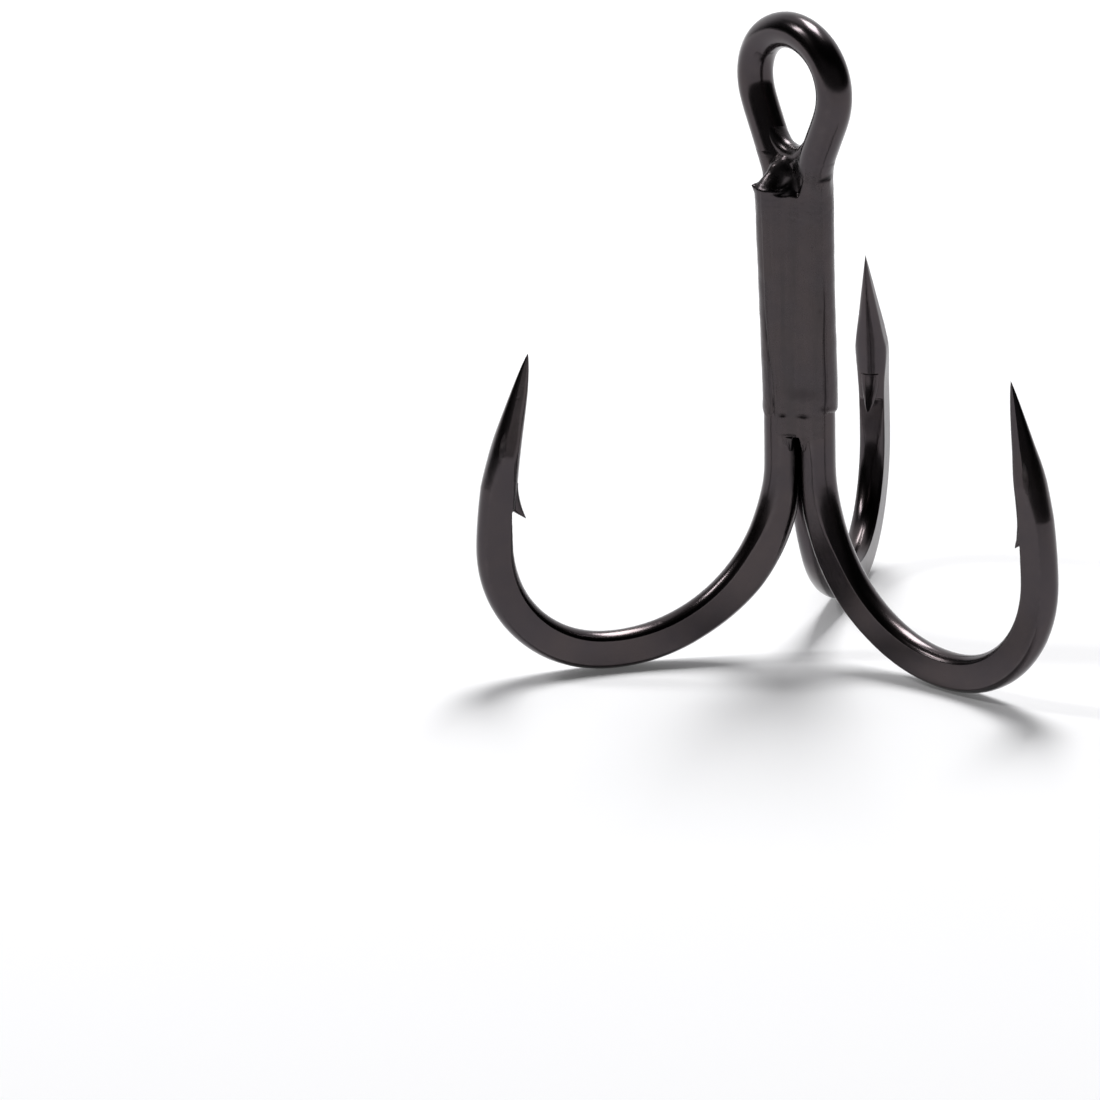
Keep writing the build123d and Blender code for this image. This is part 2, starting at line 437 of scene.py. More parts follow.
# Geometry Nodes: the forged wire, as rings round the stations of its route
def wireTree():
    tree = bpy.data.node_groups.new("forgedWire", "GeometryNodeTree")
    for name, kind in (
        ("Stations", "NodeSocketGeometry"),
        ("Sides", "NodeSocketInt"),
        ("Corner Blend", "NodeSocketFloat"),
        ("Hammer Depth", "NodeSocketFloat"),
        ("Crease Depth", "NodeSocketFloat"),
        ("Seed", "NodeSocketFloat"),
        ("Finish", "NodeSocketMaterial"),
    ):
        tree.interface.new_socket(name=name, in_out="INPUT", socket_type=kind)
    tree.interface.new_socket(name="Wire", in_out="OUTPUT", socket_type="NodeSocketGeometry")
    g = Graph(tree)
    given = tree.nodes.new("NodeGroupInput")
    inputs = {s.name: Link(g, s) for s in given.outputs if s.name}
    sides = inputs["Sides"]
    count = g.node(
        "GeometryNodeAttributeDomainSize", {"component": "MESH"}, {0: inputs["Stations"]}
    )
    grid = g.node(
        "GeometryNodeMeshGrid",
        None,
        {"Size X": 1.0, "Size Y": 1.0, "Vertices X": count, "Vertices Y": sides + 1},
    )
    index = g.node("GeometryNodeInputIndex")
    row = (index / (sides + 1) + 0.0001).maths("FLOOR")
    column = index - row * (sides + 1)

    def sampled(name, kind="FLOAT"):
        field = g.node("GeometryNodeInputNamedAttribute", {"data_type": kind}, {"Name": name})
        if name == "position":
            field = g.node("GeometryNodeInputPosition")
        return g.node(
            "GeometryNodeSampleIndex",
            {"data_type": kind, "domain": "POINT", "clamp": True},
            {"Geometry": inputs["Stations"], "Value": field, "Index": row},
        )

    even = column / sides * (2 * math.pi)
    angle = even + (even * 4).maths("SINE") * wire["cornerCrowding"]
    cosine, sine = angle.maths("COSINE"), angle.maths("SINE")
    isOuter = cosine.above(0)
    reach = sampled("inner") + (sampled("outer") - sampled("inner")) * isOuter
    oval = 1 / ((cosine / reach).power(2) + (sine / sampled("across")).power(2)).power(0.5)
    flat = sampled("flat") / sine.size().most(0.02)
    cut = sampled("cut") / (0 - cosine).most(0.02)
    bevelAngle = math.radians(wire["bevelAngle"])
    bevelFacing = cosine * math.cos(bevelAngle) + sine.size() * math.sin(bevelAngle)
    bevel = sampled("bevel") / bevelFacing.most(0.05)
    blend = inputs["Corner Blend"] * reach.least(1)
    radius = oval.softLeast(flat, blend).softLeast(bevel, blend).softLeast(cut, blend * 0.6)

    def nearness(first, second):
        meet = 1 - ((first - second).size() / wire["cornerWidth"]).least(1)
        shows = 1 - ((first.least(second) - radius) / wire["cornerFade"]).least(1)
        return meet * shows

    def combined(x, y, z):
        return g.node("ShaderNodeCombineXYZ", None, {0: x, 1: y, 2: z})

    corner = nearness(oval, flat).most(nearness(flat, bevel)).most(nearness(oval, bevel))
    corner = corner.most(nearness(oval, cut)).most(nearness(flat, cut))

    # hammer marks: short ridges across the bevel, and a faint unevenness everywhere
    along = sampled("along")
    scale = wire["hammerScale"]
    across = combined(along * scale, angle * scale, inputs["Seed"])
    marks = g.noise(across, 1.0, 3.0, 0.6, 0.6) - 0.5
    fine = combined(along * 0.9, cosine * 1.2, sine * 1.2 + inputs["Seed"])
    uneven = (g.noise(fine, 1.0, 2.0) - 0.5) * wire["unevenness"] * reach.least(1)
    onBevel = ((flat.least(oval) - bevel) / 0.03 + 0.4).most(0).least(1)
    hammered = marks * inputs["Hammer Depth"] * 2 * sampled("hammer") * onBevel
    hammered = hammered * cosine.ramp(-0.25, 0.2)
    # a fine crease along the edges of each flat, also darkened in the finish as painted shade
    beyond = ((flat - oval) / 0.05 - 1.1).power(2)
    creased = sampled("innerCrease") + (sampled("crease") - sampled("innerCrease")) * isOuter
    crease = (1 - beyond).most(0) * creased * sine.size().above(0.3)
    shaped = radius + hammered + uneven - crease * inputs["Crease Depth"]

    centre = sampled("position", "FLOAT_VECTOR")
    offset = sampled("outward", "FLOAT_VECTOR") * (shaped * cosine)
    offset = offset + sampled("sideways", "FLOAT_VECTOR") * (shaped * sine)
    place = (centre + offset) * millimetre
    geometry = grid
    for name, kind, value in (
        ("corner", "FLOAT", corner),
        ("hammered", "FLOAT", sampled("hammer") * onBevel),
        ("crease", "FLOAT", crease),
        ("wireMap", "FLOAT_VECTOR", combined(along, cosine, sine)),
    ):
        geometry = g.node(
            "GeometryNodeStoreNamedAttribute",
            {"data_type": kind, "domain": "POINT"},
            {"Geometry": geometry, "Name": name, "Value": value},
        )
    for kind, values in (
        ("SetPosition", {"Position": place}),
        ("MergeByDistance", {"Distance": wire["weld"]}),
        ("SetShadeSmooth", {"Shade Smooth": True}),
        ("RealizeInstances", {}),
        ("SetMaterial", {"Material": inputs["Finish"]}),
    ):
        geometry = g.node("GeometryNode" + kind, None, {"Geometry": geometry, **values})
    result = tree.nodes.new("NodeGroupOutput")
    tree.links.new(geometry.socket, result.inputs[0])
    return tree


def grown(name, mesh, tree, values):
    holder = bpy.data.objects.new(name + "Stations", mesh)
    bpy.context.scene.collection.objects.link(holder)
    modifier = holder.modifiers.new("grow", "NODES")
    modifier.node_group = tree
    for item in tree.interface.items_tree:
        if item.in_out == "INPUT" and item.name in values:
            modifier[item.identifier] = values[item.name]
    depsgraph = bpy.context.evaluated_depsgraph_get()
    result = bpy.data.meshes.new_from_object(holder.evaluated_get(depsgraph), depsgraph=depsgraph)
    result.name = name
    holder.modifiers.clear()
    bpy.data.objects.remove(holder)
    return result


def shown(name, mesh):
    piece = bpy.data.objects.new(name, mesh)
    bpy.context.scene.collection.objects.link(piece)
    return piece


def faceOutwards(mesh):
    # the signed volume says which way the faces point
    mesh.calc_loop_triangles()
    corners = np.zeros(3 * len(mesh.loop_triangles), np.int32)
    mesh.loop_triangles.foreach_get("vertices", corners)
    places = np.zeros(3 * len(mesh.vertices), np.float32)
    mesh.vertices.foreach_get("co", places)
    a, b, c = places.reshape(-1, 3)[corners.reshape(-1, 3)].transpose(1, 0, 2).astype(float)
    if np.einsum("ij,ij->", a, np.cross(b, c)) < 0:
        mesh.flip_normals()


def capped(rings, around):
    # the rings' points, then the middles of the first and the last ring
    rings = np.array(rings)
    return np.vstack([rings, rings[:around].mean(axis=0), rings[-around:].mean(axis=0)])


def tubeMesh(name, points, around):
    # rings of points in millimetres, closed by a fan at each end, round the last two points
    count = len(points) - 2
    faces = []
    for i in range(count // around - 1):
        for j in range(around):
            a, b = i * around + j, i * around + (j + 1) % around
            faces.append((a, b, b + around, a + around))
    for j in range(around):
        faces.append((count, (j + 1) % around, j))
        faces.append((count + 1, count - around + j, count - around + (j + 1) % around))
    mesh = bpy.data.meshes.new(name)
    mesh.from_pydata((points * millimetre).tolist(), [], faces)
    mesh.shade_smooth()
    faceOutwards(mesh)
    return mesh


def barbMesh(points, directions, outward, name):
    # a sliver lifted off the gape side, its free end pointing back round the bend
    along = lengthAlong(points)
    backs = along[-1] - along
    around = barb["around"]
    narrowing, fullness = barb["narrowing"]
    rings = []
    for i in range(barb["sections"]):
        part = i / (barb["sections"] - 1)
        back = barb["heel"] + (barb["tip"] - barb["heel"]) * part
        centre = np.array([np.interp(-back, -backs, points[:, k]) for k in range(3)])
        gape = -unit([np.interp(-back, -backs, outward[:, k]) for k in range(3)])
        run = unit([np.interp(-back, -backs, directions[:, k]) for k in range(3)])
        side = np.cross(run, gape)
        top = 1.0 + barb["rise"] * part ** barb["riseCurve"] + barb["proud"]
        under = barb["bed"]
        if back >= barb["root"]:
            free = (back - barb["root"]) / (barb["tip"] - barb["root"])
            under = barb["rootBed"] + (top - barb["rootBed"]) * free ** barb["undercut"]
        half = barb["halfWidth"] * max(0.0, 1 - part ** narrowing) ** fullness + 0.004
        middle, thick = (top + under) / 2, (top - under) / 2 + 0.003
        for j in range(around):
            angle = 2 * math.pi * j / around
            height = math.sin(angle)
            width = math.copysign(abs(math.cos(angle)) ** 0.8, math.cos(angle))
            crown = 1 - barb["crownLoss"] * (1 - height) / 2
            rings.append(
                centre + gape * (middle + thick * height) + side * half * width * crown
            )
    placed = capped(rings, around)
    mesh = tubeMesh(name, placed, around)
    for key in ("corner", "hammered", "crease"):
        mesh.attributes.new(key, "FLOAT", "POINT")
    mapping = mesh.attributes.new("wireMap", "FLOAT_VECTOR", "POINT")
    mapping.data.foreach_set("vector", placed.astype(np.float32).ravel())
    return mesh


def joined(name, meshes, material):
    pieces = [shown(f"{name}Part{i}", mesh) for i, mesh in enumerate(meshes)]
    with bpy.context.temp_override(
        active_object=pieces[0], selected_editable_objects=pieces, selected_objects=pieces
    ):
        bpy.ops.object.join()
    piece = pieces[0]
    piece.name = name
    piece.data.name = name
    piece.data.materials.clear()
    piece.data.materials.append(material)
    for polygon in piece.data.polygons:
        polygon.material_index = 0
    return piece


# Finishes: black nickel, on drawn and forged wire and on the brazing filler, with painted shade in
# their grooves, creases and crevices
finish = {
    "tint": (0.060, 0.052, 0.056, 1),
    "tintWarm": (0.072, 0.060, 0.061, 1),
    "wear": (0.20, 0.185, 0.185, 1),
    "roughness": 0.2,
    "drawLines": 0.05,
    # painted shade: near black laid into grooves, creases, crevices, dents and the hollow under
    # the solder ridge
    "paintedShade": (0.004, 0.0035, 0.004, 1),
    "brazeTint": (0.062, 0.054, 0.058, 1),
    "brazeDull": (0.046, 0.045, 0.046, 1),
    "brazeRoughness": 0.27,
    "cornerWear": 0.14,
    "cloudScale": 260.0,
    "grainScale": 2600.0,
    "speckScale": 1500.0,
    "streakScale": (1500.0, 1500.0, 90.0),       # runs of filler, drawn out along the shanks
    "lineScale": (0.35, 26.0, 26.0),             # drawing lines, along the wire
    "bump": (0.22, 0.00002),                     # strength, and height in metres
}


def blackNickel(name, isBraze):
    material = bpy.data.materials.new(name)
    material.use_nodes = True
    tree = material.node_tree
    tree.nodes.clear()
    g = Graph(tree)
    place = g.node("ShaderNodeTexCoord", None, None, "Object")
    cloud = g.noise(place, finish["cloudScale"], 4.0, 0.6)
    grain = g.noise(place, finish["grainScale"], 3.0, 0.6)
    speck = g.noise(place, finish["speckScale"], 2.0, 0.7)
    base = finish["brazeTint"] if isBraze else finish["tint"]
    colour = g.mixColour(cloud.ramp(0.35, 0.7), base, finish["tintWarm"])

    def painted(name, output="Fac"):
        return g.node("ShaderNodeAttribute", {"attribute_name": name}, None, output)

    if isBraze:
        mark = painted("mark")
        streak = g.noise(place.maths("MULTIPLY", finish["streakScale"]), 1.0, 4.0, 0.6)
        rough = finish["brazeRoughness"] + (cloud - 0.5) * 0.16 + (grain - 0.5) * 0.10 + mark * 0.2
        rough = rough + (streak - 0.5) * 0.2
        height = grain * 0.3 + cloud * 0.5 + streak * 0.25 - speck.ramp(0.64, 0.72) * 0.9
        colour = g.mixColour(streak.ramp(0.35, 0.75) * 0.3, colour, finish["brazeDull"])
        # painted shade: the filler's mark darkens its grooves, slot, crevices, dents and the
        # hollow under the ridge towards near black
        colour = g.mixColour(mark, colour, finish["paintedShade"])
    else:
        mapping = painted("wireMap", "Vector")
        lines = g.noise(mapping.maths("MULTIPLY", finish["lineScale"]), 1.0, 3.0, 0.65)
        hammered = painted("hammered")
        # painted shade: the creases and the crevices between the wires darkened towards near black
        dark = painted("crease").most(painted("crevice")).least(1)
        colour = g.mixColour(dark * 0.94, colour, finish["paintedShade"])
        rough = finish["roughness"] + (lines - 0.5) * 0.14 + (cloud - 0.5) * 0.12 + hammered * 0.28
        height = lines * finish["drawLines"] * 6 + grain * 0.12 - speck.ramp(0.68, 0.74) * 0.5
        colour = g.mixColour(hammered * grain.ramp(0.4, 0.65) * 0.35, colour, finish["wear"])
        worn = painted("corner") * (cloud.ramp(0.4, 0.62) * 0.5 + grain.ramp(0.45, 0.7) * 0.5)
        colour = g.mixColour(worn * finish["cornerWear"], colour, finish["wear"])
    strength, depth = finish["bump"]
    bump = g.node(
        "ShaderNodeBump", None, {"Strength": strength, "Distance": depth, "Height": height}
    )
    shader = g.node(
        "ShaderNodeBsdfPrincipled",
        None,
        {
            "Base Color": colour,
            "Metallic": 1.0,
            "Roughness": rough.most(0.12),
            "Normal": bump,
        },
    )
    result = tree.nodes.new("ShaderNodeOutputMaterial")
    tree.links.new(shader.socket, result.inputs["Surface"])
    return material


wireFinish = blackNickel("blackNickelWire", False)
brazeFinish = blackNickel("blackNickelBraze", True)
print("finishes made")

# Double hook: one wire from the near point, up its shank, round the eye and down to the far point
forge = wireTree()
forgeValues = {
    "Sides": wire["sides"],
    "Corner Blend": wire["cornerBlend"],
    "Hammer Depth": wire["hammerDepth"],
    "Crease Depth": wire["creaseDepth"],
    "Seed": 3.0,
    "Finish": wireFinish,
}
nearBend, farBend, eyeLine = bendRoute(doubleHeadings[0]), bendRoute(doubleHeadings[1]), eyeRoute()
nearSections, farSections = bendSections(nearBend[0]), bendSections(farBend[0])
eyeOutward = carried(eyeLine[1], nearBend[2][0], farBend[2][0])
doublePoints = np.vstack([nearBend[0][::-1], eyeLine[0][1:-1], farBend[0]])
doubleRuns = np.vstack([-nearBend[1][::-1], eyeLine[1][1:-1], farBend[1]])
doubleOutward = np.vstack([nearBend[2][::-1], eyeOutward[1:-1], farBend[2]])
plainSections = roundSections(len(eyeLine[0]) - 2)
doubleSections = {
    key: np.concatenate([nearSections[key][::-1], plainSections[key], farSections[key]])
    for key in nearSections
}


def closedEnds(points, sections, *others):
    # a last ring of no size at each end closes the wire
    def longer(row):
        return np.concatenate([row[:1], row, row[-1:]])

    sections = {key: longer(value) for key, value in sections.items()}
    for key in ("inner", "outer", "across", "flat", "cut", "bevel"):
        sections[key][[0, -1]] = 1e-4
    return (longer(points), sections, *[longer(other) for other in others])


doublePoints, doubleSections, doubleRuns, doubleOutward = closedEnds(
    doublePoints, doubleSections, doubleRuns, doubleOutward
)
doubleSideways = np.cross(doubleRuns, doubleOutward)
doubleStations = stationMesh(
    "doubleStations", doublePoints, doubleOutward, doubleSideways, doubleSections
)
doubleWire = grown("doubleWire", doubleStations, forge, forgeValues)
faceOutwards(doubleWire)
doubleHook = joined(
    "doubleHook",
    [doubleWire, barbMesh(*nearBend, "nearBarb"), barbMesh(*farBend, "farBarb")],
    wireFinish,
)
print("double hook made,", len(doubleHook.data.polygons), "faces")

# Single hook: its shank leans out at the top, where the far leg of the eye pushes it aside
singleOutward = headingVector(singleHeading)
leanSlope = singleEnd["lean"] / (singleEnd["leanTo"] - singleEnd["leanFrom"])


def singleOffset(height):
    return wire["shankOffset"] + leanSlope * max(0.0, height - singleEnd["leanFrom"])


shankCorners = [
    singleOutward * singleOffset(singleEnd["height"]) + up * singleEnd["height"],
    singleOutward * wire["shankOffset"] + up * singleEnd["leanFrom"],
    singleOutward * wire["shankOffset"] + up * wire["joinHeight"],
]
shankRoute = Route(shankCorners[0], shankCorners[1] - shankCorners[0])
shankRoute.corners(shankCorners, (singleEnd["leanRadius"],), 0.4)
shankPoints, shankRuns = shankRoute.arrays()
singleBend = bendRoute(singleHeading)
singleSections = bendSections(singleBend[0])
plainSections = roundSections(len(shankPoints) - 1)
singleSections = {
    key: np.concatenate([plainSections[key], singleSections[key]]) for key in singleSections
}
singlePoints = np.vstack([shankPoints[:-1], singleBend[0]])
singleRuns = np.vstack([shankRuns[:-1], singleBend[1]])
shankSide = carried(shankRuns, singleBend[2][0], singleBend[2][0])
singleOut = np.vstack([shankSide[:-1], singleBend[2]])
singlePoints, singleSections, singleRuns, singleOut = closedEnds(
    singlePoints, singleSections, singleRuns, singleOut
)
singleStations = stationMesh(
    "singleStations", singlePoints, singleOut, np.cross(singleRuns, singleOut), singleSections
)
singleWire = grown("singleWire", singleStations, forge, dict(forgeValues, Seed=11.0))
faceOutwards(singleWire)
singleHook = joined("singleHook", [singleWire, barbMesh(*singleBend, "singleBarb")], wireFinish)
print("single hook made,", len(singleHook.data.polygons), "faces")

for piece, node in ((doubleHook, "double_hook"), (singleHook, "single_hook")):
    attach(piece, "root")
    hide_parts(node)

# Brazing filler: one skin over the three shanks, found along level rays from outside to the axis
braze = {
    "columns": 350,
    "rows": ((11.0, 15.0, 0.05), (15.0, 25.0, 0.18), (25.0, 28.95, 0.042)),    # from, to, step
    "raysFrom": 3.6,
    "rayHops": 70,
    "frontFilm": 0.045,          # how far the filler stands over the wires
    "sideFilm": (0.035, 0.15),   # at the top and at the bottom of the side that stands proud
    "otherFilm": 0.02,
    "backFilm": 0.06,
    "backSpread": 50,            # degrees either side of the back
    "rimGroove": 0.045,
    "border": 3,                 # degrees over which one side's film turns into the next
    "leftGroove": (1.5, 3.6),    # degrees from the film's border, and half width
    "rightGroove": (1.5, 2.2),
    "ledge": (-70, 26),          # heading and half width of the proud step up the near leg
    "ledgeFilm": 0.08,
    # the slot is darkened with painted shade
    "slotHeight": 27.62,         # the dark slot over that step
    "slotHalf": 0.12,
    "slotFilm": 0.028,
    "webProud": 0.03,
    "webTops": {"front": 26.62, "side": 25.6, "back": 26.2},
    "webBottoms": {"front": 12.62, "side": 12.9, "back": 12.45},
    "singleTop": 26.8,
    "spurHeading": 168.0,
    "spurFrom": (0.62, 26.6, 0.34),      # out from the cropped end, height, radius
    "spurTo": (1.24, 27.02, 0.02),
    "saddleTop": 29.12,
    "saddleRise": 0.2,
    "saddleHalf": 0.62,
    "saddleReach": 1.35,
    # the fillet drawn up from the cropped end to the far leg: its back and its front edge
    "fillet": ((-2.1, 0.05, 26.9), (-1.25, 0.15, 27.8), (-0.1, 0.15, 28.6)),
    "ridge": ((-1.75, -0.62, 26.75), (-0.8, -0.42, 27.55), (0.2, -0.12, 28.4)),
    # the filler lying in front of the fillet, beside the near leg: start, end, radius
    "apron": ((-0.75, -0.72, 26.5), (0.15, -0.62, 28.0), 0.42),
    "filletRods": 4,
    "filletRadii": (0.32, 0.14),         # at its back, and how much less at its ridge
    "bar": {
        "reach": 1.95, "stations": 54, "around": 40,
        "height": 28.52, "rise": 0.36, "halfWidth": 0.6, "halfHeight": 0.58,
        "flare": 0.05, "lump": 0.06,
    },
    "lumps": 0.016,
    "lumpScales": ((1.3, 1.0), (4.1, 0.45), (11.0, 0.2)),      # per millimetre, and share
    # dents seen along heading frontAcross: place across, height, half width, half height, depth
    "frontAcross": -14.8,
    "dents": (
        (-1.12, 14.0, 0.20, 0.09, 0.05),
        (0.03, 14.0, 0.30, 0.10, 0.05),
        (0.08, 15.3, 0.75, 0.35, 0.02),
        (1.25, 14.45, 0.30, 0.14, 0.03),
        (1.0, 20.1, 0.12, 0.10, 0.03),
    ),
    "crack": (12.78, 0.07, 0.13),        # height, half height and depth, beside the crotch
    "crackSpan": (-0.95, -0.75, -0.1, 0.1),      # across the web, whose edges are at -1 and 1
    "webTongue": (0.8, 0.14, 0.34),      # how far the web's edges run down past its middle
    "creviceGap": (1.36, 1.62),          # distance to the second nearest wire
    "creviceSpan": (8.4, 9.4, 12.5, 12.9),
}


def softMost(first, second, blend):
    share = np.clip(0.5 - 0.5 * (second - first) / blend, 0, 1)
    return second + (first - second) * share + blend * share * (1 - share)


def softLeast(first, second, blend):
    return -softMost(-first, -second, blend)


def rising(points, runs):
    # the part of a leg that climbs from the shank, ready to be read by height
    order = np.argsort(points[:, 2])
    points, runs = points[order], runs[order]
    runs = runs * np.sign(runs[:, 2:])
    return points[:, 2], points, runs


widest = int(np.argmax(eyeLine[0][:, 2]))


def wholeLeg(part, bend):
    upper = [i for i in part if eyeLine[0][i, 2] < 31]
    lower = [i for i in range(len(bend[0])) if i < 60 and 8.4 < bend[0][i, 2]]
    return rising(
        np.vstack([eyeLine[0][upper], bend[0][lower][1:]]),
        np.vstack([eyeLine[1][upper], bend[1][lower][1:]]),
    )


nearLeg = wholeLeg(range(widest), nearBend)
farLeg = wholeLeg(range(widest, len(eyeLine[0])), farBend)
topEnd = singleOutward * singleOffset(28.5) + up * 28.5
lowerEnd = [i for i in range(60) if 8.4 < singleBend[0][i, 2]]
singleLeg = rising(
    np.vstack([topEnd, shankPoints, singleBend[0][lowerEnd][1:]]),
    np.vstack([shankRuns[0], shankRuns, singleBend[1][lowerEnd][1:]]),
)


def legAt(leg, z):
    heights, centres, runs = leg
    return [np.interp(z, heights, column) for column in (*centres.T[:2], *runs.T)]


def fromLeg(leg, x, y, z):
    # distance from a leg's centreline, and the heading from it
    cx, cy, rx, ry, rz = legAt(leg, z)
    foot = z + ((x - cx) * rx + (y - cy) * ry) * rz
    cx, cy, rx, ry, rz = legAt(leg, foot)
    dx, dy, dz = x - cx, y - cy, z - foot
    gap = np.sqrt((dy * rz - dz * ry) ** 2 + (dz * rx - dx * rz) ** 2 + (dx * ry - dy * rx) ** 2)
    return gap, np.degrees(np.arctan2(dy, dx))


def turnFrom(heading, reference):
    return (heading - reference + 180) % 360 - 180


def filmThickness(heading, z, which):
    # how far the filler stands over a wire that faces this heading, and how much painted shade its
    # grooves and the slot over the ledge get
    fromFront = turnFrom(heading, -120)
    border = braze["border"]
    leftBorder = -10 - 18 * smooth(14.3, 19.5, z) - 22 * (1 - smooth(9.5, 13.8, z))
    rightBorder = 36.0 + 1.5 * np.sin(z * 1.3) + 4 * (1 - smooth(12.0, 14.0, z))
    pastLeft = smooth(leftBorder - border, leftBorder, fromFront)
    pastRight = smooth(rightBorder, rightBorder + border, fromFront)
    onFront = pastLeft * (1 - pastRight)
    onSide = pastRight * (1 - smooth(170, 185, fromFront))
    elsewhere = 1 - onFront - onSide
    onBack = np.exp(-((turnFrom(heading, 120) / braze["backSpread"]) ** 2))
    sideTop, sideBottom = braze["sideFilm"]
    sideFilm = sideTop + (sideBottom - sideTop) * (1 - smooth(14.6, 22.5, z))
    frontFilm = braze["frontFilm"] * smooth(12.4, 15.0, z)
    other = braze["otherFilm"]
    thick = onFront * frontFilm + onSide * sideFilm + elsewhere * other
    thick = thick + onBack * (braze["backFilm"] - other)
    aside, halfWidth = braze["leftGroove"]
    leftGroove = np.exp(-(((fromFront - leftBorder + aside) / halfWidth) ** 2))
    leftGroove = leftGroove * (1 - smooth(18.0, 20.5, z))
    aside, halfWidth = braze["rightGroove"]
    rightGroove = np.exp(-(((fromFront - rightBorder - aside) / halfWidth) ** 2))
    rightGroove = rightGroove * (1 - smooth(20.0, 22.5, z))
    groove = leftGroove * (which == 0) + rightGroove * (which == 1)
    groove = groove * (0.35 + 0.65 * smooth(13.6, 14.6, z))
    thick = thick - braze["rimGroove"] * groove
    # the filler ends in a ledge on the side, and runs out thin down the front of the wires
    wave = 0.05 * np.sin(np.radians(heading) * 5 + 1)
    sideEnd = smooth(13.86 + wave, 14.32 + wave, z)
    frontEnd = smooth(11.3, 12.9, z)
    otherEnd = smooth(13.5 + wave * 2, 14.0 + wave * 2, z)
    collar = 0.06 * np.exp(-(((z - 14.3) / 0.3) ** 2)) * onBack
    ends = onFront * frontEnd + onSide * sideEnd + elsewhere * otherEnd
    thick = (thick + collar + 0.12) * np.clip(ends, 0, 1) - 0.12
    # up the legs it thins to nothing, with one proud ledge on the right of the near leg
    thick = thick * (1 - 0.55 * smooth(25.6, 27.4, z))
    ledgeHeading, ledgeHalf = braze["ledge"]
    aside = turnFrom(heading, ledgeHeading)
    ledge = np.exp(-((aside / ledgeHalf) ** 4)) * (which == 1)
    slotHeight = braze["slotHeight"]
    slot = np.exp(-(((z - slotHeight - 0.004 * aside) / braze["slotHalf"]) ** 2))
    below = (1 - smooth(slotHeight - 0.12, slotHeight, z)) * smooth(26.4, 27.3, z)
    thick = thick + ledge * braze["ledgeFilm"] * below
    thick = thick + (braze["slotFilm"] - thick) * np.clip(ledge * slot * 1.3, 0, 1)
    topEnd = 1 - smooth(28.4, 29.6, z)
    # the second value is painted shade for the grooves and the slot
    return (thick + 0.3) * topEnd - 0.3, np.maximum(groove, ledge * slot * 1.25)


def crevice(x, y, z):
    # 1 where two wires close on each other below the filler: where painted shade is laid on the
    # wires and the filler
    gaps = np.sort([fromLeg(leg, x, y, z)[0] for leg in (singleLeg, nearLeg, farLeg)], axis=0)
    return (1 - smooth(*braze["creviceGap"], gaps[1])) * window(braze["creviceSpan"], z)


def taperedRod(x, y, z, start, end, startRadius, endRadius):
    start, run = np.asarray(start), np.asarray(end) - start
    dx, dy, dz = x - start[0], y - start[1], z - start[2]
    part = np.clip((dx * run[0] + dy * run[1] + dz * run[2]) / (run @ run), 0, 1)
    dx, dy, dz = dx - run[0] * part, dy - run[1] * part, dz - run[2] * part
    return np.sqrt(dx * dx + dy * dy + dz * dz) - (startRadius + (endRadius - startRadius) * part)


def sectionRadius(heading, z, which):
    # the wire's own surface, pressed flat on two sides below the filler
    clear = wire["flatClear"]
    flat = clear + (wire["crotchFlatHalf"] - clear) * smooth(13.2, 11.2, z)
    aside = np.abs(np.sin(np.radians(heading - (singleHeading, *doubleHeadings)[which])))
    return np.minimum(wire["radius"], flat / np.maximum(aside, 0.05))


